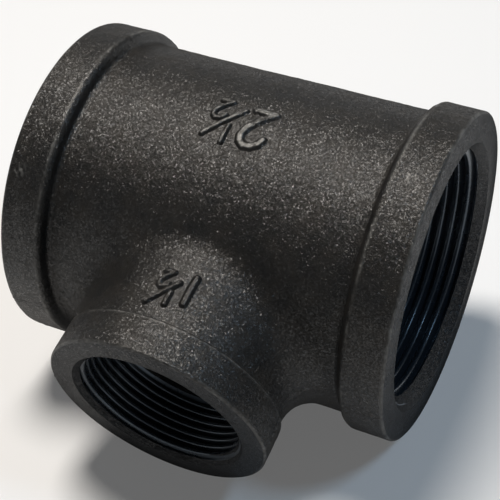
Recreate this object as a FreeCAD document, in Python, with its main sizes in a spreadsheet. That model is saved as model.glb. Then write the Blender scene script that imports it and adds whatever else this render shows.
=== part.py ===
"""Threaded reducing tee in malleable iron: a straight run with a smaller branch.

The real fitting is one hollow casting with three tapped ends. It is divided on flat planes
into its barrel and its three sockets, which meet face to face, so that each end is a solid
of its own with one axis. The raised size numerals are solids too.

The casting's own frame has its origin where the axes of the three ports meet:
+X along the run, -Y along the branch, +Z square to the plane of both axes.
The finished part lies on its side: both run bands and the branch rim touch the floor z = 0,
and the origin is the middle of the footprint. All lengths are in millimetres.
"""
import FreeCAD, Part
import math
import os

import Sketcher

Vector = FreeCAD.Vector
Rotation = FreeCAD.Rotation
Placement = FreeCAD.Placement

# name, value, what it is
SIZES = (
    ("run_reach", 54.86, "centre of the tee to the face of a run port"),
    ("branch_reach", 63.75, "centre of the tee to the face of the branch port"),
    ("barrel_radius", 42.3, "outside of the barrel"),
    ("neck_radius", 30.0, "outside of the branch neck behind its band"),
    ("flare_radius", 10.5, "fillet between barrel and neck, as far as there is room"),
    ("run_band_radius", 45.58, "outside of a run port's band"),
    ("run_band_width", 11.6, "full height part of a run band"),
    ("run_shoulder_width", 2.2, "sloping back of a run band"),
    ("run_shoulder_round", 1.8, "rounding over the back of a run band"),
    ("run_root_width", 1.0, "plain stretch of a run socket behind its shoulder"),
    ("run_root_round", 1.2, "rounding in the corner behind a run band"),
    ("run_rim_round", 0.9, "rounding of a run band at the port face"),
    ("branch_band_radius", 30.82, "outside of the branch band"),
    ("branch_band_width", 10.0, "full height part of the branch band"),
    ("branch_shoulder_width", 0.5, "sloping back of the branch band"),
    ("branch_shoulder_round", 0.5, "rounding over the back of the branch band"),
    ("branch_root_width", 0.75, "plain stretch of the branch socket behind its shoulder"),
    ("branch_root_round", 0.5, "rounding in the corner behind the branch band"),
    ("branch_rim_round", 0.8, "rounding of the branch band at the port face"),
    ("thread_taper", 0.0625, "pipe thread taper, change of diameter for each length"),
    ("thread_angle", 60.0, "degrees between the flanks of a thread"),
    ("crest_flat_share", 0.12, "flat on a thread crest, for each pitch"),
    ("root_flat_share", 0.08, "flat in a thread root, for each pitch"),
    ("run_pitch", 3.175, "8 threads to the inch"),
    ("run_crest_radius", 33.81, "thread crest at the face of a run port"),
    ("run_thread_length", 23.4, "from a run port's face to the end of its thread"),
    ("run_mouth_radius", 36.4, "recess that leads into a run thread"),
    ("run_mouth_depth", 1.0, "depth of that recess"),
    ("run_land_length", 2.5, "plain bore behind a run thread"),
    ("run_chamber_slope", 1.5, "from the plain bore out to the run waterway"),
    ("run_wall", 5.1, "wall of the barrel round the run waterway"),
    ("branch_pitch", 2.2087, "11 1/2 threads to the inch"),
    ("branch_crest_radius", 22.26, "thread crest at the face of the branch port"),
    ("branch_thread_length", 17.8, "from the branch port's face to the end of its thread"),
    ("branch_mouth_radius", 24.3, "recess that leads into the branch thread"),
    ("branch_mouth_depth", 1.0, "depth of that recess"),
    ("branch_land_length", 2.0, "plain bore behind the branch thread"),
    ("branch_chamber_slope", 1.2, "from the plain bore out to the branch waterway"),
    ("branch_wall", 5.4, "wall of the neck round the branch waterway"),
    ("numeral_rise", 0.8, "how far the size numerals stand out from the metal"),
    ("fraction_stroke_share", 0.75, "strokes of a fraction, beside those of the whole number"),
    ("run_numeral_height", 11.7, "height of the run's size on the barrel"),
    ("run_numeral_stroke", 1.4, "width of its strokes"),
    ("run_numeral_x", 8.3, "lower left corner of the run's size along the run"),
    ("run_numeral_y", 6.2, "and away from the branch, from the run's axis"),
    ("branch_numeral_height", 7.8, "height of the branch's size on the neck"),
    ("branch_numeral_stroke", 1.4, "width of its strokes"),
    ("branch_numeral_x", 5.2, "lower left corner of the branch's size along the run"),
    ("branch_numeral_setback", 13.4, "and back from the start of the branch socket"),
)
size = {name: value for name, value, _ in SIZES}

# Pen strokes of each numeral as (across, up), for a numeral of height one. The straight
# ones bow a little, because an offset outline needs a path that isn't quite a line.
NUMERALS = {
    "one": ((0, 0), (0.012, 0.5), (0, 1)),
    "two": ((0, 0.76), (0.06, 0.89), (0.2, 0.98), (0.36, 1), (0.49, 0.9), (0.53, 0.74),
            (0.48, 0.56), (0.3, 0.3), (0, 0), (0.46, 0)),
    "slash": ((0, 0), (0.41, 0.5), (0.8, 1)),
}
# The numerals of each port's nominal size in inches: numeral, across, up and height,
# each as a share of the height of the whole number.
RUN_NUMERALS = (
    ("two", 0, 0, 1),
    ("one", 0.88, 0.6, 0.45),
    ("slash", 0.68, 0.09, 0.87),
    ("two", 1.07, -0.08, 0.55),
)
BRANCH_NUMERALS = (
    ("one", 0, 0, 1),
    ("one", 0.55, 0.77, 0.47),
    ("slash", 0.42, 0.36, 0.96),
    ("two", 0.76, 0.05, 0.6),
)

# How far a cutting tool reaches past the metal.
OVERRUN = 5.0
# How far a thread tool starts inside the crest it cuts through, for each pitch.
TOOL_SKIN_SHARE = 0.05
# What is left straight at each end of the flare.
FLARE_MARGIN = 0.1

# The tube behind each kind of port: the barrel of the run and the neck of the branch.
TUBE = {"run": "barrel_radius", "branch": "neck_radius"}

RUN_AXIS = Vector(1, 0, 0)
BRANCH_AXIS = Vector(0, -1, 0)
UP = Vector(0, 0, 1)

doc = FreeCAD.newDocument("ReducingTee")


# ---------------------------------------------------------------- sheet and sketches

def make_sheet():
    """The driving dimensions, one to a row: name, value, meaning."""
    sheet = doc.addObject("Spreadsheet::Sheet", "Sizes")
    for row, (name, value, meaning) in enumerate(SIZES, start=1):
        sheet.set(f"A{row}", name)
        sheet.set(f"B{row}", str(value))
        sheet.set(f"C{row}", meaning)
        sheet.setAlias(f"B{row}", name)
    doc.recompute()


def bind_point(sketch, line, end, corner):
    """Place one end of a line by a pair of expressions."""
    for direction, expression in zip(("DistanceX", "DistanceY"), corner):
        place = sketch.addConstraint(Sketcher.Constraint(direction, -1, 1, line, end, 1.0))
        sketch.setExpression(f"Constraints[{place}]", expression)


def draw_path(sketch, corners):
    """Open path of straight lines, each corner bound to a pair of expressions."""
    count = len(corners)
    start = [Vector(math.cos(i), math.sin(i), 0) * OVERRUN for i in range(count)]
    for i in range(count - 1):
        sketch.addGeometry(Part.LineSegment(start[i], start[i + 1]), False)
    for i in range(count - 2):
        sketch.addConstraint(Sketcher.Constraint("Coincident", i, 2, i + 1, 1))
    for i in range(count - 1):
        bind_point(sketch, i, 1, corners[i])
    bind_point(sketch, count - 2, 2, corners[-1])


def draw_outline(sketch, corners):
    """Closed outline of straight lines, each corner bound to a pair of expressions."""
    count = len(corners)
    start = [Vector(math.cos(i), math.sin(i), 0) * OVERRUN for i in range(count)]
    for i in range(count):
        sketch.addGeometry(Part.LineSegment(start[i], start[(i + 1) % count]), False)
    for i in range(count):
        sketch.addConstraint(Sketcher.Constraint("Coincident", i, 2, (i + 1) % count, 1))
    for i in range(count):
        bind_point(sketch, i, 1, corners[i])


def turn(body, feature_type, name, role, corners, axis):
    """Revolution or Groove of an outline on an origin plane, a full turn about an axis."""
    before = body.Shape.Volume if body.Tip else 0.0
    planes = {item.Role: item for item in body.Origin.OriginFeatures}
    sketch = body.newObject("Sketcher::SketchObject", f"{name}_outline")
    sketch.AttachmentSupport = [(planes[role], "")]
    sketch.MapMode = "FlatFace"
    draw_outline(sketch, corners)
    feature = body.newObject(f"PartDesign::{feature_type}", name)
    feature.Profile = sketch
    feature.ReferenceAxis = (sketch, [axis])
    feature.Angle = 360
    doc.recompute()
    grew = feature.Shape.Volume > before
    if grew != (feature_type == "Revolution"):
        raise RuntimeError(f"{name} changed the volume the wrong way")


def round_off(body, name, matches, radius):
    """Fillet on the edges of the body that pass a test, its radius bound to the sheet."""
    base = body.Tip
    edges = [f"Edge{i}" for i, edge in enumerate(base.Shape.Edges, start=1) if matches(edge)]
    if not edges:
        raise RuntimeError(f"{name} found no edge to round")
    fillet = body.newObject("PartDesign::Fillet", name)
    fillet.Base = (base, edges)
    fillet.setExpression("Radius", radius)
    doc.recompute()


# ---------------------------------------------------------------- outlines

def socket_start(port):
    """Distance from the tee's centre to the plane where a socket meets the barrel."""
    parts = ("band_width", "shoulder_width", "root_width")
    return f"(Sizes.{port}_reach" + "".join(f" - Sizes.{port}_{part}" for part in parts) + ")"


def chamber_radius(port):
    """The waterway behind the threads, inside the wall of the port's tube."""
    return f"(Sizes.{TUBE[port]} - Sizes.{port}_wall)"


def outside_of(port):
    """A socket's outside as (along, radius): root, shoulder, band and the port's face."""
    back = f"Sizes.{port}_reach - Sizes.{port}_band_width"
    root = f"Sizes.{TUBE[port]}"
    return [
        (socket_start(port), "0"),
        (socket_start(port), root),
        (f"{back} - Sizes.{port}_shoulder_width", root),
        (back, f"Sizes.{port}_band_radius"),
        (f"Sizes.{port}_reach", f"Sizes.{port}_band_radius"),
        (f"Sizes.{port}_reach", "0"),
    ]


def waterway_of(port):
    """A port's bore as (along, radius), from its waterway out through its mouth."""
    countersink = f"(Sizes.{port}_mouth_radius - Sizes.{port}_crest_radius)"
    plain = f"Sizes.{port}_reach - Sizes.{port}_thread_length"
    chamber = f"{plain} - Sizes.{port}_land_length - Sizes.{port}_chamber_slope"
    crest = f"Sizes.{port}_crest_radius - Sizes.thread_taper / 2 * "
    lead_in = f"(Sizes.{port}_mouth_depth + {countersink})"
    return [
        (chamber, chamber_radius(port)),
        (f"{plain} - Sizes.{port}_land_length", f"{crest}Sizes.{port}_thread_length"),
        (plain, f"{crest}Sizes.{port}_thread_length"),
        (f"Sizes.{port}_reach - {lead_in}", f"{crest}{lead_in}"),
        (f"Sizes.{port}_reach - Sizes.{port}_mouth_depth", f"Sizes.{port}_mouth_radius"),
        (f"Sizes.{port}_reach + {OVERRUN}", f"Sizes.{port}_mouth_radius"),
        (f"Sizes.{port}_reach + {OVERRUN}", "0"),
    ]


def both_ways(corners):
    """Corners (along, radius) of one run port, mirrored to make the whole run."""
    mirrored = [(f"-({along})", radius) for along, radius in reversed(corners)]
    return mirrored + corners


def down_the_branch(corners):
    """Corners (along, radius) turned so that they run from the tee's centre along -Y."""
    return [(radius, f"-({along})") for along, radius in corners]


def up_the_axis(corners):
    """Corners (along, radius) turned so that they run along a socket's own Z axis."""
    return [(radius, along) for along, radius in corners]


# ---------------------------------------------------------------- threads

def make_thread(name, port, placement):
    """Tool for a tapered thread. Its own Z runs from the tee's centre out of the port."""
    pitch = f"Sizes.{port}_pitch"
    groove = f"(1 - Sizes.crest_flat_share) * {pitch}"
    root = f"Sizes.root_flat_share * {pitch}"
    flank = "tan(Sizes.thread_angle / 2)"
    start_depth = f"(Sizes.{port}_thread_length - {groove})"
    start_radius = f"(Sizes.{port}_crest_radius - Sizes.thread_taper / 2 * {start_depth})"
    start = f"Sizes.{port}_reach - {start_depth}"
    skin = f"{TOOL_SKIN_SHARE} * {pitch}"

    helix = doc.addObject("Part::Helix", f"{name}_helix")
    helix.SegmentLength = 1
    helix.setExpression("Pitch", pitch)
    helix.setExpression("Height", f"{start_depth} - Sizes.{port}_mouth_depth - {groove} / 2")
    helix.setExpression("Radius", start_radius)
    helix.setExpression("Angle", "atan(Sizes.thread_taper / 2)")
    helix.setExpression("Placement.Base.z", start)

    tooth = doc.addObject("Sketcher::SketchObject", f"{name}_tooth")
    tooth.Placement = Placement(Vector(), Rotation(Vector(1, 0, 0), 90))
    tooth.setExpression("Placement.Base.z", start)
    inner = f"{start_radius} - {skin}"
    outer = f"{start_radius} + ({groove} - {root}) / 2 / {flank}"
    half_opening = f"({groove} / 2 + {skin} * {flank})"
    draw_outline(tooth, [
        (inner, f"-{half_opening}"),
        (outer, f"-{root} / 2"),
        (outer, f"{root} / 2"),
        (inner, half_opening),
    ])

    tool = doc.addObject("Part::Sweep", name)
    tool.Sections = [tooth]
    tool.Spine = (helix, [])
    tool.Solid = True
    tool.Frenet = True
    tool.Placement = placement
    doc.recompute()
    return tool


def cut(name, base, tool):
    """Part::Cut that has to take metal away and leave one solid."""
    result = doc.addObject("Part::Cut", name)
    result.Base = base
    result.Tool = tool
    doc.recompute()
    if not result.Shape.Volume < base.Shape.Volume - 1.0 or len(result.Shape.Solids) != 1:
        raise RuntimeError(f"{name} was not cut as it should be")
    return result


# ---------------------------------------------------------------- sockets and barrel

def circles(radius, distance):
    """Test for an edge: a circle round the Z axis at this height."""
    def matches(edge):
        curve = edge.Curve
        return (
            isinstance(curve, Part.Circle)
            and math.isclose(curve.Radius, radius, abs_tol=1e-6)
            and math.isclose(curve.Center.z, distance, abs_tol=1e-6)
        )
    return matches


def make_socket(name, port, placement, thread):
    """One tapped end. Its own Z runs from the tee's centre out of the port."""
    body = doc.addObject("PartDesign::Body", f"{name}_blank")
    metal = up_the_axis(outside_of(port))
    turn(body, "Revolution", f"{name}_metal", "XZ_Plane", metal, "V_Axis")
    face = size[f"{port}_reach"]
    back = face - size[f"{port}_band_width"]
    foot = back - size[f"{port}_shoulder_width"]
    band = size[f"{port}_band_radius"]
    for part, matches in (
        ("rim", circles(band, face)),
        ("shoulder", circles(band, back)),
        ("root", circles(size[TUBE[port]], foot)),
    ):
        round_off(body, f"{name}_{part}", matches, f"Sizes.{port}_{part}_round")
    bore = up_the_axis([("0", "0"), ("0", chamber_radius(port))] + waterway_of(port))
    turn(body, "Groove", f"{name}_bore", "XZ_Plane", bore, "V_Axis")
    body.Placement = placement
    return cut(name, body, thread)


def is_saddle(edge):
    """The closed curve where the neck meets the barrel, neither a line nor a circle."""
    return isinstance(edge.Curve, Part.BSplineCurve)


def make_barrel(threads):
    """Barrel with the branch neck flared out of it, and the inner ends of the threads."""
    body = doc.addObject("PartDesign::Body", "barrel_blank")
    run_end = socket_start("run")
    neck_end = socket_start("branch")
    run_metal = both_ways([(run_end, "Sizes.barrel_radius"), (run_end, "0")])
    neck_metal = [("0", "0"), ("0", "Sizes.neck_radius"),
                  (neck_end, "Sizes.neck_radius"), (neck_end, "0")]
    turn(body, "Revolution", "barrel_metal", "XY_Plane", run_metal, "H_Axis")
    turn(body, "Revolution", "neck_metal", "XY_Plane", down_the_branch(neck_metal), "V_Axis")
    round_off(body, "flare", is_saddle,
              f"min(Sizes.flare_radius; {run_end} - Sizes.neck_radius - {FLARE_MARGIN};"
              f" {neck_end} - Sizes.barrel_radius - {FLARE_MARGIN})")
    turn(body, "Groove", "run_waterway", "XY_Plane", both_ways(waterway_of("run")), "H_Axis")
    branch_bore = [("0", "0"), ("0", chamber_radius("branch"))] + waterway_of("branch")
    turn(body, "Groove", "branch_waterway", "XY_Plane", down_the_branch(branch_bore), "V_Axis")

    right_thread, left_thread, branch_thread = threads
    tapped = cut("barrel_tapped_right", body, right_thread)
    tapped = cut("barrel_tapped_left", tapped, left_thread)
    return cut("barrel", tapped, branch_thread)


def make_metal():
    """The four nodes that make up the casting, in the casting's own frame."""
    ends = (
        ("right_run", "run", RUN_AXIS),
        ("left_run", "run", -RUN_AXIS),
        ("branch", "branch", BRANCH_AXIS),
    )
    threads = []
    nodes = []
    for name, port, direction in ends:
        placement = Placement(Vector(), Rotation(UP, direction))
        threads.append(make_thread(f"{name}_thread", port, placement))
        nodes.append(make_socket(f"{name}_socket", port, placement, threads[-1]))
    nodes.append(make_barrel(threads))
    return nodes


# ---------------------------------------------------------------- raised numerals

def make_stroke(name, corners, stroke, top):
    """Upright prism round a path on XY, with round ends and corners."""
    path = doc.addObject("Sketcher::SketchObject", f"{name}_path")
    draw_path(path, corners)
    outline = doc.addObject("Part::Offset2D", f"{name}_outline")
    outline.Source = path
    outline.Mode = "Pipe"
    outline.Join = "Arc"
    outline.Fill = True
    outline.setExpression("Value", f"{stroke} / 2")
    prism = doc.addObject("Part::Extrusion", f"{name}_prism")
    prism.Base = outline
    prism.DirMode = "Custom"
    prism.Dir = UP
    prism.Solid = True
    prism.setExpression("LengthFwd", top)
    doc.recompute()
    return prism


def make_skin(name, port, direction):
    """Tube that starts on the metal's round surface and is as thick as the numerals."""
    placement = Placement(direction * -size["branch_reach"], Rotation(UP, direction))
    metal = f"Sizes.{TUBE[port]}"
    cylinders = []
    for part, radius in (("outer", f"{metal} + Sizes.numeral_rise"), ("inner", metal)):
        cylinder = doc.addObject("Part::Cylinder", f"{name}_skin_{part}")
        cylinder.setExpression("Radius", radius)
        cylinder.setExpression("Height", "2 * Sizes.branch_reach")
        cylinder.Placement = placement
        cylinders.append(cylinder)
    doc.recompute()
    return cut(f"{name}_skin", cylinders[0], cylinders[1])


def make_numerals(name, port, direction, back, numerals):
    """Raised size of a port. It reads along -X with its top towards the branch port."""
    height = f"Sizes.{port}_numeral_height"
    top = f"Sizes.{TUBE[port]} + Sizes.numeral_rise + {OVERRUN}"
    prisms = []
    for order, (numeral, across, up, share) in enumerate(numerals):
        corners = [
            (f"Sizes.{port}_numeral_x - {across + share * x:.4f} * {height}",
             f"{back} - {up + share * y:.4f} * {height}")
            for x, y in NUMERALS[numeral]
        ]
        stroke = f"Sizes.{port}_numeral_stroke"
        if order > 0:
            stroke += " * Sizes.fraction_stroke_share"
        prisms.append(make_stroke(f"{name}_{order}", corners, stroke, top))
    fused = doc.addObject("Part::MultiFuse", f"{name}_prisms")
    fused.Shapes = prisms
    raised = doc.addObject("Part::Common", name)
    raised.Base = make_skin(name, port, direction)
    raised.Tool = fused
    doc.recompute()
    return raised


# ---------------------------------------------------------------- the part as it lies

def lying_placement():
    """The tee rests on both run bands and droops until the branch band touches too."""
    rim = size["branch_rim_round"]
    along = size["branch_reach"] - rim
    out = size["branch_band_radius"] - rim
    height = size["run_band_radius"]
    droop = math.asin((height - rim) / math.hypot(along, out)) - math.atan2(out, along)
    front = along * math.cos(droop) + out * math.sin(droop) + rim
    turned = Rotation(Vector(1, 0, 0), math.degrees(droop))
    return Placement(Vector(0, (front - height) / 2, height), turned)


def check_document():
    """Stop on any object that failed, and on any shape that is empty or not valid."""
    for item in doc.Objects:
        if "Invalid" in item.State or "Error" in item.State:
            raise RuntimeError(f"{item.Name} failed: {item.State}")
        if hasattr(item, "Shape") and (item.Shape.isNull() or not item.Shape.isValid()):
            raise RuntimeError(f"{item.Name} has a shape that is empty or not valid")


make_sheet()
nodes = make_metal()
run_back = "Sizes.run_numeral_y"
branch_back = f"Sizes.branch_numeral_setback - {socket_start('branch')}"
nodes += [
    make_numerals("run_size_numerals", "run", RUN_AXIS, run_back, RUN_NUMERALS),
    make_numerals("branch_size_numerals", "branch", BRANCH_AXIS, branch_back, BRANCH_NUMERALS),
]
lying = lying_placement()
for node in nodes:
    node.Label = node.Name
    node.Placement = lying
doc.recompute()
check_document()

os.makedirs("parts", exist_ok=True)
for node in nodes:
    node.Shape.exportStep(f"parts/{node.Label}.step")
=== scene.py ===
import math

import bmesh
import bpy
from bpy.props import FloatProperty, FloatVectorProperty, IntProperty, PointerProperty
from bpy.types import Operator, Panel, PropertyGroup
from mathutils import Matrix, Vector, noise
from mathutils.bvhtree import BVHTree


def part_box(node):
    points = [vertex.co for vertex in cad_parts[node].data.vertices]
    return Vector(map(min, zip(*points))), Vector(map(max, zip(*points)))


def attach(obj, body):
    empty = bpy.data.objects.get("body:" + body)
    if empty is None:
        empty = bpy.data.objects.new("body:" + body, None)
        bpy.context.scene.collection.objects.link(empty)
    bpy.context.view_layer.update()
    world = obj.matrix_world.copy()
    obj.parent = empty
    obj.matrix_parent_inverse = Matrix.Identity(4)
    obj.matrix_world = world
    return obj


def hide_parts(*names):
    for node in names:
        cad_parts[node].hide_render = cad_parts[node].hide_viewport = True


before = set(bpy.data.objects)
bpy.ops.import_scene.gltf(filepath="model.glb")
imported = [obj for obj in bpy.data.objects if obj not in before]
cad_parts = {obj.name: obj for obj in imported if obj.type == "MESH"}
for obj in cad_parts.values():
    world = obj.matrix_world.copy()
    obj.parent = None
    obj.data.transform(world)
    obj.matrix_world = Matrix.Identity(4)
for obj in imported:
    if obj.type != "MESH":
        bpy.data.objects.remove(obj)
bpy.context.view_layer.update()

bl_info = {
    "name": "Cast reducing tee",
    "version": (1, 0, 0),
    "blender": (4, 5, 0),
    "location": "View3D > Sidebar > Tee",
    "description": "Builds a black cast pipe tee round its packed frame",
    "category": "Add Mesh",
}

MM = 0.001
MICRON = MM * MM
RIGHT_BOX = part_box("right_run_socket")
# The tee's own middle, where the run and branch axes cross.
CROSSING = (RIGHT_BOX[0] + RIGHT_BOX[1]) / 2 * Vector((0, 1, 1))

# The tee is modelled with its run along X and its branch along -Y, then laid down.
SOCKET_TURN = {"right_run": 0.0, "left_run": math.pi, "branch": -math.pi / 2}

# Unit strokes of the size numerals, as (across, up).
NUMERALS = {
    "one": ((0, 0), (0.012, 0.5), (0, 1)),
    "two": ((0, 0.76), (0.06, 0.89), (0.2, 0.98), (0.36, 1), (0.49, 0.9), (0.53, 0.74),
            (0.48, 0.56), (0.3, 0.3), (0, 0), (0.46, 0)),
    "slash": ((0, 0), (0.41, 0.5), (0.8, 1)),
}
# Numeral, across, up and height, each as a share of the whole number's height.
RUN_NUMERALS = (("two", 0, 0, 1), ("one", 0.88, 0.6, 0.45), ("slash", 0.68, 0.09, 0.87),
                ("two", 1.07, -0.08, 0.55))
BRANCH_NUMERALS = (("one", 0, 0, 1), ("one", 0.55, 0.77, 0.47), ("slash", 0.42, 0.36, 0.96),
                   ("two", 0.76, 0.05, 0.6))

# The cast skin's unevenness, as (height, size, shift of the noise), in millimetres.
SKIN_WAVES = ((0.10, 13, Vector((0, 0, 0))), (0.07, 5, Vector((7, 3, 1))),
              (0.05, 1.9, Vector((0, 0, 0))), (0.035, 1.1, Vector((3, 8, 5))))
# Its lumps and pits, as (height, size, shift and threshold of the noise).
SKIN_SPOTS = ((0.28, 2.4, Vector((11, 2, 6)), 0.42), (-0.30, 2.0, Vector((1, 9, 4)), 0.48))
# Fin where the mould's halves met, as (height, half width), and how it tore in the throats.
FIN = (0.16 * MM, 0.45 * MM)
TORN_FIN = (0.75 * MM, 0.75 * MM)
# Where the throats between the branch and the bands lie: along the run, and beyond this Y.
THROAT = (33.5 * MM, -30 * MM)
# Knocks on the run's bands, as (along the run, degrees from the top towards the branch,
# distance from the run's axis, size), in millimetres.
KNOCKS = ((48.3, 5, 45.5, 2.4), (-51.8, 37, 45.5, 2.6), (47.0, -150, 45.5, 2.0))

# A band's foot, sunk in the barrel's wall, as millimetres (behind its shoulder, under its root).
BAND_FOOT = ((1.2, 1.4), (0.7, 0.35), (0.2, 0.02))
# Slope of its shoulder, as shares of the shoulder's width and height.
SHOULDER = ((0.25, 0.06), (0.40, 0.15))
# Rounding of its rim, as shares of the rounding (behind the face, under the band).
RIM = ((1, 0), (0.6, 0.08), (0.3, 0.28), (0.1, 0.6), (0, 0.85))
BAND_GRAIN = 0.45 * MM
# One flank of the thread, as (share of the pitch, share of the depth), with a rounded crest.
THREAD_FLANK = ((0, 0), (0.05, 0), (0.10, 0.012), (0.14, 0.045), (0.175, 0.10), (0.205, 0.17),
                (0.235, 0.26), (0.30, 0.47), (0.37, 0.70), (0.42, 0.86), (0.46, 0.96), (0.5, 1))
THREAD_DEPTH = 0.64  # of the pitch
TAPER = 1 / 32       # off the radius, for each length of thread
RUN_OUT = 0.8        # rise of the last turns out of the wall, for each length
# How far the socket's rings stand outside the waterway and the mouth.
LAP = 0.25 * MM
FACE_LAP = 0.2 * MM
# Material slots of a socket.
CAST, MACHINED, THREADED = range(3)
PIPE_SEGMENTS = 256
FLARE_SMOOTHINGS = 3
CRISP_ANGLE = math.radians(38)  # edges sharper than this aren't shaded smooth

# How far a numeral reaches off its strokes, as a share of their slope, and down into the metal.
NUMERAL_EDGE = -0.25
NUMERAL_ROOT = -1.2 * MM

# A surface that turns from the eye loses its gloss late, and ends at this roughness.
AWAY_POWER = 2.4
DULL = 0.9
# Lamps, as (name, degrees round the tee, degrees up, distance, size, watts, tint), in metres.
LAMPS = (("softbox", -122, 76, 0.9, 0.34, 9.9, (1.0, 0.95, 0.89)),
         ("window", 100, 56, 1.0, 0.22, 2.2, (0.5, 0.74, 1.0)))
ROOM_TINT, ROOM_LIGHT = (0.92, 0.96, 1.0, 1), 0.03
BACKDROP_TINT = (0.95, 0.975, 1.0, 1)


def length(name, description, millimetres):
    """A length that the sidebar shows."""
    return FloatProperty(name=name, description=description, default=millimetres * MM,
                         unit="LENGTH", precision=5)


def colour(name, description, rgb):
    """A colour that the sidebar shows."""
    return FloatVectorProperty(name=name, description=description, default=rgb, size=3,
                               subtype="COLOR", min=0.0, max=1.0)


def angle(name, description, degrees):
    """An angle that the sidebar shows."""
    return FloatProperty(name=name, description=description, default=math.radians(degrees),
                         subtype="ANGLE")


def segments(name, description, count):
    """A count of steps round a turn, which is rounded down to a multiple of 8 or 16."""
    return IntProperty(name=name, description=description, default=count, min=16)


class BodySizes(PropertyGroup):
    """Sizes of the barrel, the neck and the cast skin."""
    droop: angle("Droop", "How far the branch leans down as the tee lies", 14.4515)
    barrel_radius: length("Barrel radius", "Outside of the barrel", 42.3)
    barrel_half: length("Barrel half length", "How far the barrel runs in under a band", 45.5)
    barrel_bore: length("Barrel bore", "Radius of the waterway along the run", 37.2)
    neck_radius: length("Neck radius", "Outside of the branch neck", 30.0)
    neck_reach: length("Neck reach", "How far the neck runs in under its band", 56.5)
    neck_bore: length("Neck bore", "Radius of the waterway in the neck", 24.6)
    flare_reach: length("Flare reach", "Height of the flare over barrel and neck", 11.0)
    skin_step: length("Skin step", "Mesh size of the outside", 0.65)
    bore_step: length("Bore step", "Mesh size of the waterway", 1.2)
    skin_depth: length("Skin depth", "How far the cast skin lies under its nominal size", 0.16)


class RunSocketSizes(PropertyGroup):
    """Sizes of a run socket."""
    reach: length("Reach", "Centre of the tee to the face", RIGHT_BOX[1].x / MM)
    band_radius: length("Band radius", "Outside of the band",
                        (RIGHT_BOX[1].z - RIGHT_BOX[0].z) / 2 / MM)
    band_width: length("Band width", "Full height part of the band", 11.6)
    shoulder_width: length("Shoulder width", "Sloping back of the band", 2.2)
    shoulder_round: length("Shoulder rounding", "Rounding over the band's back", 2.2)
    shoulder_set: length("Shoulder set", "How far into the band its rounding reaches", 1.2)
    root_radius: length("Root radius", "Metal behind the shoulder", 42.3)
    rim_round: length("Rim rounding", "Rounding at the face", 0.9)
    hidden_radius: length("Hidden radius", "Joint face inside the metal", 39.5)
    pitch: length("Pitch", "Thread pitch, 8 to the inch", 3.175)
    crest_radius: length("Crest radius", "Thread crest at the face", 33.81)
    thread_length: length("Thread length", "Face to the end of the thread", 23.4)
    mouth_radius: length("Mouth radius", "Countersink at the face", 37.1)
    land_length: length("Land length", "Plain bore behind the thread", 2.5)
    chamber_slope: length("Chamber slope", "Plain bore out to the waterway", 1.5)
    thread_start: angle("Thread start", "Where the thread begins", 150)
    band_segments: segments("Band segments", "Steps round the band", 640)
    thread_segments: segments("Thread segments", "Steps in a turn of thread", 224)


class BranchSocketSizes(PropertyGroup):
    """Sizes of the branch socket."""
    reach: length("Reach", "Centre of the tee to the face", 63.75)
    band_radius: length("Band radius", "Outside of the band", 30.82)
    band_width: length("Band width", "Full height part of the band", 10.0)
    shoulder_width: length("Shoulder width", "Sloping back of the band", 0.5)
    shoulder_round: length("Shoulder rounding", "Rounding over the band's back", 0.5)
    shoulder_set: length("Shoulder set", "How far into the band its rounding reaches", 0.2)
    root_radius: length("Root radius", "Metal behind the shoulder", 30.0)
    rim_round: length("Rim rounding", "Rounding at the face", 0.8)
    hidden_radius: length("Hidden radius", "Joint face inside the metal", 27.0)
    pitch: length("Pitch", "Thread pitch, 11 1/2 to the inch", 2.2087)
    crest_radius: length("Crest radius", "Thread crest at the face", 22.26)
    thread_length: length("Thread length", "Face to the end of the thread", 17.8)
    mouth_radius: length("Mouth radius", "Countersink at the face", 24.3)
    land_length: length("Land length", "Plain bore behind the thread", 2.0)
    chamber_slope: length("Chamber slope", "Plain bore out to the waterway", 1.2)
    thread_start: angle("Thread start", "Where the thread begins", 40)
    band_segments: segments("Band segments", "Steps round the band", 448)
    thread_segments: segments("Thread segments", "Steps in a turn of thread", 192)


class NumeralSizes(PropertyGroup):
    """Sizes of the raised numerals."""
    rise: length("Rise", "How far the numerals stand out", 0.8)
    run_stroke: length("Run stroke", "Strokes of the run's whole number", 2.5)
    run_fraction_stroke: length("Run fraction stroke", "Strokes of the run's fraction", 1.6)
    branch_stroke: length("Branch stroke", "Strokes of the branch's whole number", 2.2)
    branch_fraction_stroke: length("Branch fraction stroke", "Strokes of its fraction", 1.7)
    foot: length("Foot", "Soft slope at the foot of a stroke", 0.35)
    grid: length("Grid", "Mesh size of a numeral", 0.2)
    run_height: length("Run height", "Height of the run's size", 11.7)
    run_x: length("Run X", "Lower left corner along the run", 8.3)
    run_y: length("Run Y", "Lower left corner away from the branch", 6.2)
    branch_height: length("Branch height", "Height of the branch's size", 7.8)
    branch_x: length("Branch X", "Lower left corner along the run", 5.2)
    branch_y: length("Branch Y", "Lower left corner away from the branch", -39.1)


class TeeColours(PropertyGroup):
    """Colours of the metal and the floor."""
    cast: colour("Cast skin", "Black oxide on the cast skin", (0.0028, 0.0031, 0.0036))
    dust: colour("Dust", "Paler dust on the cast skin", (0.0105, 0.0092, 0.0078))
    worn: colour("Worn skin", "Cast skin rubbed smooth at its edges", (0.130, 0.128, 0.120))
    machined: colour("Machined face", "Turned end faces", (0.008, 0.009, 0.0105))
    thread: colour("Thread", "Oiled threads", (0.010, 0.012, 0.015))
    floor: colour("Floor", "Floor and backdrop", (0.78, 0.78, 0.78))


def lying_matrix():
    """From the tee's own axes to where it lies on the floor."""
    droop = bpy.context.scene.tee_body.droop
    return Matrix.Translation(CROSSING) @ Matrix.Rotation(droop, 4, "X")


# ---------------------------------------------------------------- mesh helpers

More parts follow.
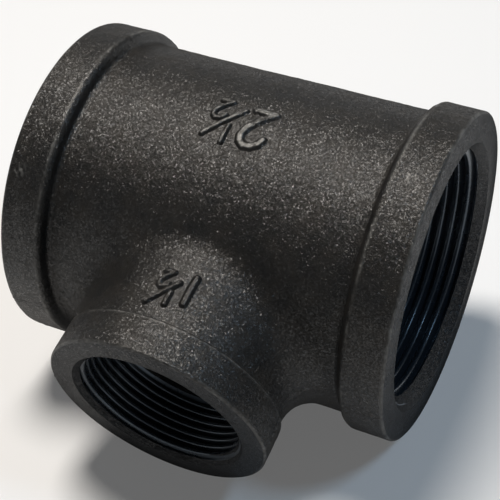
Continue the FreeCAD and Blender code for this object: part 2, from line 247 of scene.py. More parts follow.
def finished_piece(name, bm, node, materials):
    """Lays a piece down in the place of the node that it stands for."""
    bm.transform(lying_matrix())
    mesh = bpy.data.meshes.new(name)
    bm.to_mesh(mesh)
    bm.free()
    for polygon in mesh.polygons:
        polygon.use_smooth = True
    mesh.set_sharp_from_angle(angle=CRISP_ANGLE)
    for material in materials:
        mesh.materials.append(material)
    piece = bpy.data.objects.new(name, mesh)
    bpy.context.scene.collection.objects.link(piece)
    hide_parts(node)
    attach(piece, "root")


def distance_to(axis, point):
    """Distance of a point from a coordinate axis."""
    return math.hypot(*(point[i] for i in range(3) if i != axis))


def set_radius(axis, point, radius):
    """Moves a point straight out from a coordinate axis to that radius."""
    share = radius / max(distance_to(axis, point), MICRON)
    for i in range(3):
        if i != axis:
            point[i] *= share


def clamped(value, low=0.0, high=1.0):
    """A value kept between two limits."""
    return max(low, min(high, value))


def hump(off, width):
    """1 in the middle of a soft hump, down to 0 well beyond its half width."""
    return math.exp(-(off / width) ** 2)


def cast_offset(point, strength=1.0):
    """How far the cast skin stands off its nominal surface, always inwards."""
    p = point / MM
    uneven = sum(height * noise.noise(p / size + shift) for height, size, shift in SKIN_WAVES)
    uneven += sum(height * max(0.0, noise.noise(p / size + shift) - threshold)
                  for height, size, shift, threshold in SKIN_SPOTS)
    return min(0.0, strength * uneven * MM - bpy.context.scene.tee_body.skin_depth)


def parting_ridge(point):
    """Faint fin where the two halves of the mould met, thicker where it tore in the throats."""
    def waver(level, size):
        return noise.noise(Vector((point.x, point.y, level * MM)) / (size * MM))

    across = point.z + 0.35 * MM * waver(0, 6)
    ridge = (FIN[0] + 0.12 * MM * waver(5, 4)) * hump(across, FIN[1])
    if point.y >= THROAT[1]:
        return ridge
    torn = (0.5 + waver(9, 1.6)) * hump(abs(point.x) - THROAT[0], 4 * MM)
    return ridge + TORN_FIN[0] * torn * hump(across, TORN_FIN[1])


def mark_wear(bm, wear_at):
    """Stores on each vertex how far its casting skin is rubbed smooth, from 0 to 1."""
    wear = bm.verts.layers.float.new("wear")
    for vert in bm.verts:
        vert[wear] = wear_at(vert.co)


def spun(profile, lead, turn_steps, turns=1, splits=8):
    """Spins a profile about X: one split of a turn first, then copies further round and along."""
    steps = turn_steps // splits
    sweep = math.tau / splits
    advance = lead / splits
    stretch = bmesh.new()
    verts = [stretch.verts.new(corner) for corner in profile]
    edges = [stretch.edges.new(pair) for pair in zip(verts, verts[1:])]
    bmesh.ops.spin(stretch, geom=verts + edges, cent=(0, 0, 0), axis=(1, 0, 0), angle=sweep,
                   steps=steps, dvec=(advance / steps, 0, 0))
    mesh = bpy.data.meshes.new("stretch")
    stretch.to_mesh(mesh)
    stretch.free()
    onward = Matrix.Translation((advance, 0, 0)) @ Matrix.Rotation(sweep, 4, "X")
    bm = bmesh.new()
    for _ in range(splits * turns):
        bm.from_mesh(mesh)
        mesh.transform(onward)
    bpy.data.meshes.remove(mesh)
    bmesh.ops.remove_doubles(bm, verts=bm.verts, dist=2 * MICRON)
    return bm


def voxel_union(bm, step):
    """One even skin round the overlapping solids of a mesh."""
    mesh = bpy.data.meshes.new("union")
    bm.to_mesh(mesh)
    bm.free()
    solids = bpy.data.objects.new("union", mesh)
    bpy.context.scene.collection.objects.link(solids)
    remesh = solids.modifiers.new("Union", "REMESH")
    remesh.mode = "VOXEL"
    remesh.voxel_size = step
    skin = bmesh.new()
    skin.from_object(solids, bpy.context.evaluated_depsgraph_get())
    bpy.data.objects.remove(solids)
    bpy.data.meshes.remove(mesh)
    return skin


def crossed_cylinders(run_radius, run_half, branch_radius, branch_reach):
    """A cylinder along X and one from the middle along -Y."""
    bm = bmesh.new()
    for radius, low, high, turn in (
        (run_radius, -run_half, run_half, Matrix.Rotation(math.pi / 2, 4, "Y")),
        (branch_radius, 0.0, branch_reach, Matrix.Rotation(math.pi / 2, 4, "X")),
    ):
        place = turn @ Matrix.Translation((0, 0, (low + high) / 2))
        bmesh.ops.create_cone(bm, cap_ends=True, segments=PIPE_SEGMENTS, radius1=radius,
                              radius2=radius, depth=high - low, matrix=place)
    return bm


def cut_off(bm, place, direction):
    """Removes what lies beyond a plane."""
    geometry = bm.verts[:] + bm.edges[:] + bm.faces[:]
    bmesh.ops.bisect_plane(bm, geom=geometry, dist=0.2 * MICRON, plane_co=place,
                           plane_no=direction, clear_outer=True)


def open_edges(bm, axis, place):
    """Border edges that lie on a plane across an axis."""
    return [edge for edge in bm.edges if edge.is_boundary
            and all(abs(vert.co[axis] - place) < 0.01 * MM for vert in edge.verts)]


# ---------------------------------------------------------------- barrel

def cad_surface(node, keep):
    """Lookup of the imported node's outside, in the tee's own axes."""
    bm = bmesh.new()
    bm.from_mesh(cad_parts[node].data)
    bmesh.ops.remove_doubles(bm, verts=bm.verts, dist=MICRON)
    bm.transform(lying_matrix().inverted())
    hidden = [face for face in bm.faces if not keep(face.calc_center_median())]
    bmesh.ops.delete(bm, geom=hidden, context="FACES")
    tree = BVHTree.FromBMesh(bm)
    bm.free()
    return tree


def joined_pipes(sizes, run_radius, branch_radius, step, spare):
    """Run and branch pipes in one even skin, cut off square at their three ends."""
    bm = voxel_union(crossed_cylinders(run_radius, sizes.barrel_half + spare,
                                       branch_radius, sizes.neck_reach + spare), step)
    for place, direction in ((Vector((sizes.barrel_half, 0, 0)), Vector((1, 0, 0))),
                             (Vector((-sizes.barrel_half, 0, 0)), Vector((-1, 0, 0))),
                             (Vector((0, -sizes.neck_reach, 0)), Vector((0, -1, 0)))):
        cut_off(bm, place, direction)
    return bm


def barrel_skin(sizes):
    """Outside of the barrel, its flare and its neck, open at its three ends."""
    bm = joined_pipes(sizes, sizes.barrel_radius, sizes.neck_radius, sizes.skin_step, 2 * MM)
    slack = 0.1 * MM
    flare = cad_surface("barrel", lambda c: distance_to(0, c) > sizes.barrel_radius - slack
                        and (c.y > 0 or distance_to(1, c) > sizes.neck_radius - slack))
    in_flare = []
    for vert in bm.verts:
        over_barrel = distance_to(0, vert.co) - sizes.barrel_radius
        off_neck = distance_to(1, vert.co) - sizes.neck_radius
        if vert.co.y < 0 and max(over_barrel, off_neck) < sizes.flare_reach:
            vert.co = flare.find_nearest(vert.co)[0]
            in_flare.append(vert)
        elif vert.co.y < 0 and abs(off_neck) < abs(over_barrel):
            set_radius(1, vert.co, sizes.neck_radius)
        else:
            set_radius(0, vert.co, sizes.barrel_radius)
    for _ in range(FLARE_SMOOTHINGS):
        bmesh.ops.smooth_vert(bm, verts=in_flare, factor=0.5, use_axis_x=True, use_axis_y=True,
                              use_axis_z=True)
    bmesh.ops.recalc_face_normals(bm, faces=bm.faces)
    bm.normal_update()
    moved = [(vert, vert.normal * (cast_offset(vert.co) + parting_ridge(vert.co)))
             for vert in bm.verts]
    for vert, move in moved:
        if abs(vert.co.x) < sizes.barrel_half - MM and vert.co.y > MM - sizes.neck_reach:
            vert.co += move
    return bm


def barrel_bore(sizes):
    """Waterway through the barrel and the neck, open at its three ends."""
    bm = joined_pipes(sizes, sizes.barrel_bore, sizes.neck_bore, sizes.bore_step, 4 * MM)
    for vert in bm.verts:
        off_run = distance_to(0, vert.co) - sizes.barrel_bore
        off_branch = distance_to(1, vert.co) - sizes.neck_bore
        uneven = 2 * cast_offset(vert.co) + 0.3 * MM
        if abs(off_run) < MM and (vert.co.y > 0 or abs(off_run) < abs(off_branch)):
            set_radius(0, vert.co, sizes.barrel_bore + uneven)
        elif vert.co.y < 0 and abs(off_branch) < MM:
            set_radius(1, vert.co, sizes.neck_bore + uneven)
    return bm


def add_mesh(bm, other):
    """Adds another mesh to bm and frees it."""
    mesh = bpy.data.meshes.new("part")
    other.to_mesh(mesh)
    other.free()
    bm.from_mesh(mesh)
    bpy.data.meshes.remove(mesh)


class TEE_OT_barrel(Operator):
    """Barrel with its branch neck, as one cast wall round the waterway"""
    bl_idname = "tee.barrel"
    bl_label = "Barrel"

    def execute(self, context):
        sizes = context.scene.tee_body
        bm = barrel_skin(sizes)
        add_mesh(bm, barrel_bore(sizes))
        for axis, place in ((0, sizes.barrel_half), (0, -sizes.barrel_half),
                            (1, -sizes.neck_reach)):
            bmesh.ops.triangle_fill(bm, use_beauty=True, edges=open_edges(bm, axis, place))
        bmesh.ops.recalc_face_normals(bm, faces=bm.faces)
        finished_piece("barrel_casting", bm, "barrel", [cast_skin()])
        return {"FINISHED"}


# ---------------------------------------------------------------- sockets

def threaded_bore(sizes):
    """Threaded wall from the face to the end of the thread, along X and open at both ends."""
    inner = sizes.reach - sizes.thread_length
    start = inner - 1.5 * sizes.pitch
    turn = Matrix.Rotation(sizes.thread_start, 3, "X")
    groove = [*THREAD_FLANK, *((1 - along, deep) for along, deep in THREAD_FLANK[-2::-1])]
    profile = [turn @ Vector((start + along * sizes.pitch, 0,
                              sizes.crest_radius + deep * THREAD_DEPTH * sizes.pitch))
               for along, deep in groove]
    turns = math.ceil(sizes.thread_length / sizes.pitch) + 3
    bm = spun(profile, sizes.pitch, sizes.thread_segments, turns)
    for vert in bm.verts:
        depth = sizes.reach - vert.co.x
        crest = sizes.crest_radius - depth * TAPER
        radius = distance_to(0, vert.co) - depth * TAPER
        radius = min(radius, crest + max(0.0, vert.co.x - inner) * RUN_OUT)
        set_radius(0, vert.co, max(radius, sizes.mouth_radius - max(depth, 0.0)))
    cut_off(bm, Vector((sizes.reach, 0, 0)), Vector((1, 0, 0)))
    cut_off(bm, Vector((inner, 0, 0)), Vector((-1, 0, 0)))
    return bm


def step_ring(bm, edges, along, radius):
    """Draws a border ring out to a new place along X and a new radius."""
    grown = bmesh.ops.extrude_edge_only(bm, edges=edges)["geom"]
    for vert in grown:
        if isinstance(vert, bmesh.types.BMVert):
            vert.co.x = along
            set_radius(0, vert.co, radius)
    return [edge for edge in grown if isinstance(edge, bmesh.types.BMEdge)]


def rubbed_patches(place, size):
    """Patches that are rubbed more or less, from 0 to 1."""
    return clamped(0.65 + 0.7 * noise.noise(place / size)
                   + 0.5 * noise.noise(place / (0.9 * MM)))


def scuffs(place):
    """Small knocks on the outside of a band, where the metal shows."""
    share = 0.0
    for along, degrees, radius, size in KNOCKS:
        turn = math.radians(degrees)
        centre = Vector((along, -radius * math.sin(turn), radius * math.cos(turn))) * MM
        share += hump((place - centre).length, size * MM)
    return min(1.0, share) * clamped(0.25 + 1.9 * noise.noise(place / (0.8 * MM)))


def edge_wear(place, off):
    """Patchy wear along an edge, by the distance off it."""
    patches = 0.5 + 0.5 * noise.noise(place / (6 * MM)) + 0.4 * noise.noise(place / (1.2 * MM))
    return clamped(patches, high=0.8) * hump(off, 0.55 * MM)


def band_profile(sizes):
    """Outside of a socket as (along, radius), from inside the barrel's wall to its face."""
    back = sizes.reach - sizes.band_width
    foot = back - sizes.shoulder_width
    rise = sizes.band_radius - sizes.root_radius
    round_over = min(sizes.shoulder_round, 0.8 * rise)
    corners = [(foot - behind * MM, sizes.root_radius - under * MM)
               for behind, under in BAND_FOOT]
    corners += [(foot + along * sizes.shoulder_width, sizes.root_radius + up * rise)
                for along, up in SHOULDER]
    for degrees in range(165, 89, -15):
        across, up = math.cos(math.radians(degrees)), math.sin(math.radians(degrees))
        corners.append((back + sizes.shoulder_set + round_over * across,
                        sizes.band_radius - round_over * (1 - up)))
    corners += [(sizes.reach - behind * sizes.rim_round,
                 sizes.band_radius - under * sizes.rim_round) for behind, under in RIM]
    return corners


def band_skin(sizes):
    """Cast outside of a socket, along X, open at its back and at its face."""
    corners = [Vector((along, 0, radius)) for along, radius in band_profile(sizes)]
    profile = corners[:1]
    for low, high in zip(corners, corners[1:]):
        parts = int((high - low).length / BAND_GRAIN) + 1
        profile += [low.lerp(high, part / parts) for part in range(1, parts + 1)]
    return spun(profile, 0.0, sizes.band_segments, splits=16)


def roughen_band(bm, sizes, turn):
    """Gives the cast outside of a band its skin, which fades out at the machined face."""
    bmesh.ops.recalc_face_normals(bm, faces=bm.faces)
    bm.normal_update()
    first = bm.faces[:][0]
    outward = 1 if first.normal.dot(first.calc_center_median() * Vector((0, 1, 1))) > 0 else -1
    moves = []
    for vert in bm.verts:
        # The roughness and its depth both grow over the first millimetre behind the face.
        depth = sizes.reach - vert.co.x
        strength = min(1.0, 0.35 + depth / (2 * MM))
        place = turn @ vert.co
        offset = cast_offset(place, strength) * min(1.0, 0.3 + depth / (1.5 * MM))
        moves.append((vert, (offset + parting_ridge(place) * strength) * outward))
    for vert, offset in moves:
        move = vert.normal * offset
        if vert.is_boundary:
            move.x = 0
        vert.co += move


def band_wear(sizes, turn, place):
    """How far a place on a band is rubbed: along its two edges and at the knocks."""
    if distance_to(0, place) < sizes.band_radius - 1.6 * MM:
        return 0.0
    edges = (sizes.reach - sizes.band_width + 0.6 * sizes.shoulder_set, sizes.reach - 0.3 * MM)
    return max(scuffs(turn @ place),
               *(edge_wear(turn @ place, place.x - edge) for edge in edges))


def face_slot(sizes, centre):
    """Material slot of a socket's face, by its centre."""
    radius = distance_to(0, centre)
    depth = sizes.reach - centre.x
    on_face = depth < 0.02 * MM
    on_countersink = (radius < sizes.mouth_radius + 0.1 * MM
                      and abs(radius - (sizes.mouth_radius - depth)) < 0.06 * MM)
    if on_face or on_countersink:
        return MACHINED
    in_bore = radius < sizes.crest_radius + 0.85 * sizes.pitch
    return THREADED if in_bore and depth < sizes.thread_length else CAST


def socket(name, sizes, waterway, materials):
    """A closed socket: cast band outside, machined face, thread and land inside."""
    bm = threaded_bore(sizes)
    inner = sizes.reach - sizes.thread_length
    land = inner - sizes.land_length
    chamber = land - sizes.chamber_slope
    back = band_profile(sizes)[0][0]
    ring = open_edges(bm, 0, inner)
    for along, radius in ((land, sizes.crest_radius - sizes.thread_length * TAPER),
                          (chamber, waterway + LAP), (chamber, sizes.hidden_radius),
                          (back, sizes.hidden_radius)):
        ring = step_ring(bm, ring, along, radius)
    step_ring(bm, open_edges(bm, 0, sizes.reach), sizes.reach, sizes.mouth_radius + FACE_LAP)
    turn = Matrix.Rotation(SOCKET_TURN[name], 4, "Z")
    band = band_skin(sizes)
    roughen_band(band, sizes, turn)
    mark_wear(band, lambda place: band_wear(sizes, turn, place))
    add_mesh(bm, band)
    for place in (sizes.reach, back):
        bmesh.ops.triangle_fill(bm, use_beauty=True, edges=open_edges(bm, 0, place))
    bmesh.ops.recalc_face_normals(bm, faces=bm.faces)
    for face in bm.faces:
        face.material_index = face_slot(sizes, face.calc_center_median())
    bm.transform(turn)
    finished_piece(f"{name}_end", bm, f"{name}_socket", materials)


class TEE_OT_run_sockets(Operator):
    """Two banded ends of the run, threaded inside"""
    bl_idname = "tee.run_sockets"
    bl_label = "Run sockets"

    def execute(self, context):
        materials = [cast_skin(), machined_face("X"), oiled_thread()]
        for name in ("right_run", "left_run"):
            socket(name, context.scene.tee_run, context.scene.tee_body.barrel_bore, materials)
        return {"FINISHED"}


class TEE_OT_branch_socket(Operator):
    """Banded end of the branch, threaded inside"""
    bl_idname = "tee.branch_socket"
    bl_label = "Branch socket"

    def execute(self, context):
        materials = [cast_skin(), machined_face("Y"), oiled_thread()]
        socket("branch", context.scene.tee_branch, context.scene.tee_body.neck_bore, materials)
        return {"FINISHED"}


# ---------------------------------------------------------------- numerals

def stroke_lines(numerals, height, corner):
    """Straight stretches of every stroke, on the plane that the numerals are drawn on."""
    lines = []
    for order, (numeral, across, up, share) in enumerate(numerals):
        points = [Vector((corner[0] - (across + share * x) * height,
                          corner[1] - (up + share * y) * height)) for x, y in NUMERALS[numeral]]
        lines += [(low, high, order > 0) for low, high in zip(points, points[1:])]
    return lines


def stroke_share(point, lines, strokes, foot):
    """From 1 on top of a stroke to 0 at its foot, or below 0 off it."""
    best = -1.0
    for low, high, fraction in lines:
        run = high - low
        along = clamped((point - low).dot(run) / run.length_squared)
        half = strokes[fraction] / 2
        off = (point - low - run * along).length
        best = max(best, (half + foot / 2 - off) / (half * 0.5 + foot))
    return best


def raised_numerals(name, numerals, height, strokes, corner, radius, axis, rubbed):
    """Soft ridges that rise out of a round wall, closed underneath."""
    sizes = bpy.context.scene.tee_numerals
    lines = stroke_lines(numerals, height, corner)
    low = [min(min(a[i], b[i]) for a, b, _ in lines) - 2 * MM for i in range(2)]
    high = [max(max(a[i], b[i]) for a, b, _ in lines) + 2 * MM for i in range(2)]
    bm = bmesh.new()
    counts = [int((high[i] - low[i]) / sizes.grid) for i in range(2)]
    bmesh.ops.create_grid(bm, x_segments=counts[0], y_segments=counts[1], size=0.5)
    for vert in bm.verts:
        vert.co = [low[i] + (vert.co[i] + 0.5) * (high[i] - low[i]) for i in range(2)] + [0]
    shares = {vert: stroke_share(vert.co.xy, lines, strokes, sizes.foot) for vert in bm.verts}
    bare = [vert for vert in bm.verts if shares[vert] < NUMERAL_EDGE]
    bmesh.ops.delete(bm, geom=bare, context="VERTS")
    bmesh.ops.delete(bm, geom=[v for v in bm.verts if not v.link_faces], context="VERTS")
    top = bmesh.ops.extrude_face_region(bm, geom=bm.faces[:], use_keep_orig=True)["geom"]
    top = {vert for vert in top if isinstance(vert, bmesh.types.BMVert)}
    for vert in bm.verts:
        flat = vert.co.copy()
        sideways = flat.y if axis == 0 else flat.x
        flat.z = math.sqrt(radius ** 2 - sideways ** 2)
        if vert in top:
            share = clamped(stroke_share(flat.xy, lines, strokes, sizes.foot), NUMERAL_EDGE)
            swell = share * share * (3 - 2 * share) if share > 0 else share
            rise = cast_offset(flat) + swell * sizes.rise
        else:
            rise = NUMERAL_ROOT
        vert.co = flat
        set_radius(axis, vert.co, radius + rise)
    bmesh.ops.recalc_face_normals(bm, faces=bm.faces)
    mark_wear(bm, lambda place: rubbed * rubbed_patches(place, 2.2 * MM)
              * clamped((distance_to(axis, place) - radius) / sizes.rise * 2 - 0.7))
    finished_piece(name, bm, f"{name}_numerals", [cast_skin()])


class TEE_OT_numerals(Operator):
    """Raised sizes of the run and the branch"""
    bl_idname = "tee.numerals"
    bl_label = "Size numerals"

    def execute(self, context):
        sizes = context.scene.tee_numerals
        body = context.scene.tee_body
        raised_numerals("run_size", RUN_NUMERALS, height=sizes.run_height,
                        strokes=(sizes.run_stroke, sizes.run_fraction_stroke),
                        corner=(sizes.run_x, sizes.run_y),
                        radius=body.barrel_radius, axis=0, rubbed=1.0)
        raised_numerals("branch_size", BRANCH_NUMERALS, height=sizes.branch_height,
                        strokes=(sizes.branch_stroke, sizes.branch_fraction_stroke),
                        corner=(sizes.branch_x, sizes.branch_y),
                        radius=body.neck_radius, axis=1, rubbed=0.2)
        return {"FINISHED"}


# ---------------------------------------------------------------- materials

def feed(socket, value):
    """Links a socket to an output, or sets it to a number or a colour."""
    if isinstance(value, bpy.types.NodeSocket):
        socket.id_data.links.new(value, socket)
    else:
        socket.default_value = value


def add_node(nodes, kind, inputs=(), **settings):
    """A new shader node: its settings are made first, and then its inputs are fed."""
    node = nodes.new(f"ShaderNode{kind}")
    for name, value in settings.items():
        setattr(node, name, value)
    for name, value in dict(inputs).items():
        feed(node.inputs[name], value)
    return node


def maths(nodes, operation, *values):
    """Result of a sum on numbers."""
    node = add_node(nodes, "Math", enumerate(values), operation=operation)
    return node.outputs["Value"]


def vector_maths(nodes, operation, *values):
    """Result of a sum on vectors."""
    node = add_node(nodes, "VectorMath", enumerate(values), operation=operation)
    return node.outputs["Value" if operation == "LENGTH" else "Vector"]


def new_material(name):
    """A new material, with its nodes and its shader's inputs."""
    material = bpy.data.materials.new(name)
    material.use_nodes = True
    nodes = material.node_tree.nodes
    return material, nodes, nodes["Principled BSDF"].inputs


def tee_coordinates(nodes):
    """Object coordinates turned to the tee's own axes."""
    turn = add_node(nodes, "Mapping", vector_type="TEXTURE", inputs={
        "Vector": add_node(nodes, "TexCoord").outputs["Object"],
        "Location": CROSSING,
        "Rotation": (bpy.context.scene.tee_body.droop, 0, 0),
    })
    return turn.outputs["Vector"]


def grain(nodes, vector, size, detail=2.0, roughness=0.5):
    """Noise whose features are about size metres across."""
    texture = add_node(nodes, "TexNoise", {"Vector": vector, "Scale": 1 / size,
                                           "Detail": detail, "Roughness": roughness})
    return texture.outputs["Fac"]


def ramp(nodes, value, *stops):
    """Colour or grey ramp over a value, by its (place, shade) stops."""
    node = add_node(nodes, "ValToRGB", {"Fac": value})
    while len(node.color_ramp.elements) < len(stops):
        node.color_ramp.elements.new(0.5)
    for element, (place, shade) in zip(node.color_ramp.elements, stops):
        element.position = place
        element.color = (shade, shade, shade, 1) if isinstance(shade, float) else (*shade, 1)
    return node.outputs["Color"]


def bump(nodes, height, distance, normal=None, strength=1.0):
    """Normal of a surface with small heights on it, over another such normal if there is one."""
    inputs = {"Strength": strength, "Distance": distance, "Height": height}
    if normal:
        inputs["Normal"] = normal
    return add_node(nodes, "Bump", inputs).outputs["Normal"]


def mixed(nodes, share, low, high):
    """Blends two colours, or two numbers, by a share from 0 to 1."""
    if isinstance(high, float):
        return add_node(nodes, "Mix", {0: share, 2: low, 3: high}).outputs[0]
    node = add_node(nodes, "Mix", {0: share, 6: low, 7: (*high, 1)}, data_type="RGBA")
    return node.outputs[2]


def grain_facets(nodes, vector, size, tilt):
    """A normal that differs from one grain of sand to the next, on two sizes of grain."""
    normal = add_node(nodes, "NewGeometry").outputs["Normal"]
    for cell_size in (size, 1.7 * size):
        cells = add_node(nodes, "TexVoronoi", {"Vector": vector, "Scale": 1 / cell_size})
        lean = vector_maths(nodes, "MULTIPLY_ADD", cells.outputs["Color"],
                            (tilt, tilt, tilt), (-tilt / 2, -tilt / 2, -tilt / 2))
        normal = vector_maths(nodes, "ADD", normal, lean)
    return vector_maths(nodes, "NORMALIZE", normal)


def fading_gloss(nodes, vector, shader, roughness, coat):
    """Gives a surface its gloss and its pitted coat, which both fade as it turns from the eye."""
    weight = add_node(nodes, "LayerWeight", {"Blend": 0.5})
    away = maths(nodes, "POWER", weight.outputs["Facing"], AWAY_POWER)
    pits = grain(nodes, vector, 0.48 * MM, roughness=0.6)
    pitted = ramp(nodes, pits, (0.39, 0.1), (0.64, coat))
    feed(shader["Roughness"], mixed(nodes, away, roughness, DULL))
    feed(shader["Coat Weight"], mixed(nodes, away, pitted, 0.0))


def sandy_normal(nodes, vector, size, depth, strength=1.0, below=None):
    """Normal of a surface with coarse grain of sand on it and fine grain on that."""
    lumps = grain(nodes, vector, 1.2 * MM, detail=3.0, roughness=0.6)
    coarse = bump(nodes, lumps, 0.13 * MM, below, strength)
    sand = grain(nodes, vector, size, detail=3.0, roughness=0.7)
    return bump(nodes, sand, depth, coarse, strength)


def cast_skin():
    """Black sand-cast skin: fine grain, dust in patches, small glints and rubbed edges."""
    if "cast_skin" in bpy.data.materials:
        return bpy.data.materials["cast_skin"]
    colours = bpy.context.scene.tee_colours
    material, nodes, shader = new_material("cast_skin")
    vector = tee_coordinates(nodes)
    wear = add_node(nodes, "Attribute", attribute_name="wear").outputs["Fac"]
    patches = grain(nodes, vector, 7 * MM, detail=5.0, roughness=0.65)
    dusty = ramp(nodes, patches, (0.38, tuple(colours.cast)), (0.66, tuple(colours.dust)))
    bare = maths(nodes, "POWER", wear, 2.0)
    feed(shader["Base Color"], mixed(nodes, bare, dusty, tuple(colours.worn)))
    speckle = grain(nodes, vector, 0.3 * MM, roughness=0.6)
    glints = ramp(nodes, speckle, (0.36, 0.43), (0.64, 0.30))
    fading_gloss(nodes, vector, shader, mixed(nodes, wear, glints, 0.3), coat=0.85)
    unworn = maths(nodes, "MULTIPLY_ADD", wear, -0.7, 1.0)
    feed(shader["Normal"], sandy_normal(nodes, vector, size=0.36 * MM, depth=0.21 * MM,
                                        strength=unworn))
    feed(shader["Specular IOR Level"], 0.23)
    feed(shader["Specular Tint"], (1.0, 0.95, 0.88, 1))
    feed(shader["Coat Roughness"], 0.24)
    facets = grain_facets(nodes, vector, size=0.27 * MM, tilt=0.5)
    feed(shader["Coat Normal"], bump(nodes, speckle, 0.08 * MM, facets))
    return material


def machined_face(direction):
    """Turned end face, nearly as dark as the skin, with fine rings from the tool."""
    material, nodes, shader = new_material(f"machined_face_{direction.lower()}")
    vector = tee_coordinates(nodes)
    rings = add_node(nodes, "TexWave", wave_type="RINGS", rings_direction=direction, inputs={
        "Vector": vector, "Scale": 1 / (2.2 * MM), "Distortion": 1.5, "Detail": 2.0})
    patches = grain(nodes, vector, 5 * MM, detail=4.0, roughness=0.6)
    metal = tuple(bpy.context.scene.tee_colours.machined)
    feed(shader["Base Color"],
         ramp(nodes, patches, (0.35, tuple(0.6 * c for c in metal)), (0.6, metal)))
    gloss = ramp(nodes, patches, (0.3, 0.5), (0.7, 0.36))
    fading_gloss(nodes, vector, shader, gloss, coat=0.6)
    turned = bump(nodes, rings.outputs["Fac"], 0.006 * MM)
    feed(shader["Normal"], sandy_normal(nodes, vector, size=0.4 * MM, depth=0.24 * MM,
                                        below=turned))
    feed(shader["Specular IOR Level"], 0.12)
    feed(shader["Coat Roughness"], 0.26)
    feed(shader["Coat Normal"], grain_facets(nodes, vector, size=0.3 * MM, tilt=0.6))
    return material


def oiled_thread():
    """Cut thread, dark and oily with a bluish gloss."""
    if "oiled_thread" in bpy.data.materials:
        return bpy.data.materials["oiled_thread"]
    material, nodes, shader = new_material("oiled_thread")
    vector = tee_coordinates(nodes)
    patches = grain(nodes, vector, 3 * MM, detail=4.0, roughness=0.6)
    metal = tuple(bpy.context.scene.tee_colours.thread)
    feed(shader["Base Color"],
         ramp(nodes, patches, (0.35, metal), (0.7, tuple(2.2 * c for c in metal))))
    feed(shader["Roughness"], ramp(nodes, patches, (0.3, 0.34), (0.7, 0.25)))
    rough = grain(nodes, vector, 0.5 * MM, detail=3.0, roughness=0.6)
    feed(shader["Normal"], bump(nodes, rough, 0.02 * MM))
    feed(shader["Specular IOR Level"], 0.9)
    feed(shader["Specular Tint"], (0.72, 0.86, 1.0, 1))
    return material


# ---------------------------------------------------------------- stage

def seen_rays(nodes):
    """1 for what the camera sees, directly, mirrored or through glass, and 0 for other light."""
    path = add_node(nodes, "LightPath")
    share = maths(nodes, "MAXIMUM", path.outputs["Is Camera Ray"], path.outputs["Is Glossy Ray"])
    return maths(nodes, "MAXIMUM", share, path.outputs["Is Transmission Ray"])


def show_mixed(nodes, share, output, lit, seen):
    """Sends a surface or a world to its output, with a share of what is seen in place of it."""
    mix = add_node(nodes, "MixShader", {0: share, 1: lit.outputs[0], 2: seen.outputs[0]})
    feed(output.inputs["Surface"], mix.outputs["Shader"])


def pale_floor():
    """Plain pale floor, paler still to the eye, in reflections and through glass."""
    material, nodes, shader = new_material("pale_floor")
    feed(shader["Base Color"], (*bpy.context.scene.tee_colours.floor, 1))
    feed(shader["Roughness"], 1.0)
    feed(shader["Specular IOR Level"], 0.0)
    far = vector_maths(nodes, "LENGTH", add_node(nodes, "TexCoord").outputs["Object"])
    paler = maths(nodes, "MULTIPLY", seen_rays(nodes), ramp(nodes, far, (0.12, 0.12), (0.8, 0.55)))
    white = add_node(nodes, "Emission", {"Color": (1, 1, 1, 1)})
    show_mixed(nodes, paler, nodes["Material Output"], nodes["Principled BSDF"], white)
    return material


def pale_world(world):
    """Dim light all round, and a backdrop that is pale just above the horizon to the eye."""
    world.use_nodes = True
    nodes = world.node_tree.nodes
    nodes.clear()
    towards = add_node(nodes, "TexCoord").outputs["Generated"]
    height = add_node(nodes, "SeparateXYZ", {"Vector": towards}).outputs["Z"]
    strength = ramp(nodes, height, (0.04, 0.55), (0.2, 0.08))
    room = add_node(nodes, "Background", {"Color": ROOM_TINT, "Strength": ROOM_LIGHT})
    backdrop = add_node(nodes, "Background", {"Color": BACKDROP_TINT, "Strength": strength})
    show_mixed(nodes, seen_rays(nodes), add_node(nodes, "OutputWorld"), room, backdrop)


def direction_from(azimuth, elevation):
    """Unit vector towards a compass place: azimuth 0 looks along +Y."""
    return Vector((math.sin(azimuth) * math.cos(elevation),
                   -math.cos(azimuth) * math.cos(elevation), math.sin(elevation)))


def area_light(name, azimuth, elevation, distance, size, power, tint):
    """A round soft lamp that shines on the tee's middle."""
    lamp = bpy.data.lights.new(name, "AREA")
    lamp.shape = "DISK"
    lamp.size = size
    lamp.energy = power
    lamp.color = tint
    light = bpy.data.objects.new(name, lamp)
    bpy.context.scene.collection.objects.link(light)
    towards = direction_from(math.radians(azimuth), math.radians(elevation))
    light.location = CROSSING + towards * distance
    light.rotation_euler = towards.to_track_quat("Z", "Y").to_euler()


def add_camera(stage):
    """The camera, turned to its aim and rolled about its own axis."""
    lens = bpy.data.cameras.new("camera")
    lens.lens = stage.focal_length
    lens.sensor_width = 36.0
    lens.clip_start = 0.01
    camera = bpy.data.objects.new("camera", lens)
    bpy.context.scene.collection.objects.link(camera)
    towards = direction_from(stage.azimuth, stage.elevation)
    camera.location = Vector(stage.aim) + towards * stage.distance
    turn = towards.to_track_quat("Z", "Y").to_matrix() @ Matrix.Rotation(stage.roll, 3, "Z")
    camera.rotation_euler = turn.to_euler()
    bpy.context.scene.camera = camera


class StageSizes(PropertyGroup):
    """Camera and floor."""
    azimuth: angle("Azimuth", "Camera round the tee", 26.459)
    elevation: angle("Elevation", "Camera above the horizon", 41.032)
    roll: angle("Roll", "Camera turned about its own axis", -1.547)
    distance: length("Distance", "Camera to its aim", 357.19)
    aim: FloatVectorProperty(name="Aim", description="Point in the middle of the view", size=3,
                             default=(2.72 * MM, 1.24 * MM, 45.46 * MM), subtype="TRANSLATION")
    focal_length: FloatProperty(name="Focal length", description="Lens on a 36 mm wide sensor",
                                default=93.81, min=1.0)
    floor_size: length("Floor size", "Side of the square floor", 6000)


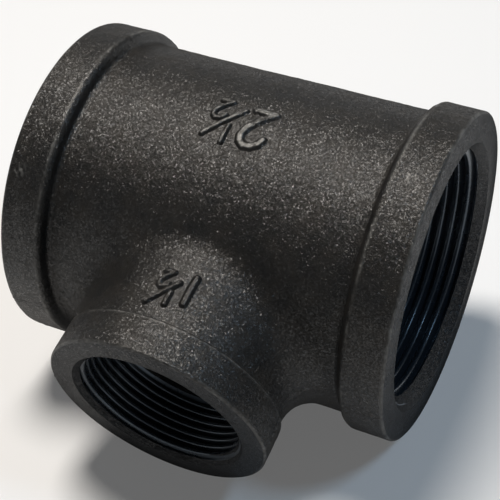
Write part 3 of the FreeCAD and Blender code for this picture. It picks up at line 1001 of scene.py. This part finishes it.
class TEE_OT_stage(Operator):
    """Pale floor, soft lamps and the camera"""
    bl_idname = "tee.stage"
    bl_label = "Stage"

    def execute(self, context):
        scene = context.scene
        bm = bmesh.new()
        bmesh.ops.create_grid(bm, x_segments=1, y_segments=1, size=scene.tee_stage.floor_size / 2)
        mesh = bpy.data.meshes.new("floor")
        bm.to_mesh(mesh)
        bm.free()
        mesh.materials.append(pale_floor())
        floor = bpy.data.objects.new("floor", mesh)
        scene.collection.objects.link(floor)
        scene.world = scene.world or bpy.data.worlds.new("studio")
        pale_world(scene.world)
        for lamp in LAMPS:
            area_light(*lamp)
        add_camera(scene.tee_stage)
        scene.view_settings.view_transform = "Standard"
        return {"FINISHED"}


# ---------------------------------------------------------------- add-on

class TEE_PT_panel(Panel):
    """Lists the tee's pieces"""
    bl_idname = "TEE_PT_panel"
    bl_label = "Cast reducing tee"
    bl_space_type = "VIEW_3D"
    bl_region_type = "UI"
    bl_category = "Tee"

    def draw(self, context):
        for operator in OPERATORS:
            self.layout.operator(operator.bl_idname)
        for name in SETTINGS:
            settings = getattr(context.scene, name)
            box = self.layout.box()
            for key in settings.bl_rna.properties.keys():
                if key not in ("rna_type", "name"):
                    box.prop(settings, key)


SETTINGS = {
    "tee_body": BodySizes,
    "tee_run": RunSocketSizes,
    "tee_branch": BranchSocketSizes,
    "tee_numerals": NumeralSizes,
    "tee_colours": TeeColours,
    "tee_stage": StageSizes,
}
OPERATORS = (TEE_OT_barrel, TEE_OT_run_sockets, TEE_OT_branch_socket, TEE_OT_numerals,
             TEE_OT_stage)


def register():
    for cls in (*SETTINGS.values(), *OPERATORS, TEE_PT_panel):
        bpy.utils.register_class(cls)
    for name, group in SETTINGS.items():
        setattr(bpy.types.Scene, name, PointerProperty(type=group))


def unregister():
    for name in SETTINGS:
        delattr(bpy.types.Scene, name)
    for cls in (TEE_PT_panel, *reversed(OPERATORS), *reversed(SETTINGS.values())):
        bpy.utils.unregister_class(cls)


def main():
    register()
    bpy.ops.tee.barrel()
    bpy.ops.tee.run_sockets()
    bpy.ops.tee.branch_socket()
    bpy.ops.tee.numerals()
    bpy.ops.tee.stage()


if __name__ == "__main__":
    main()
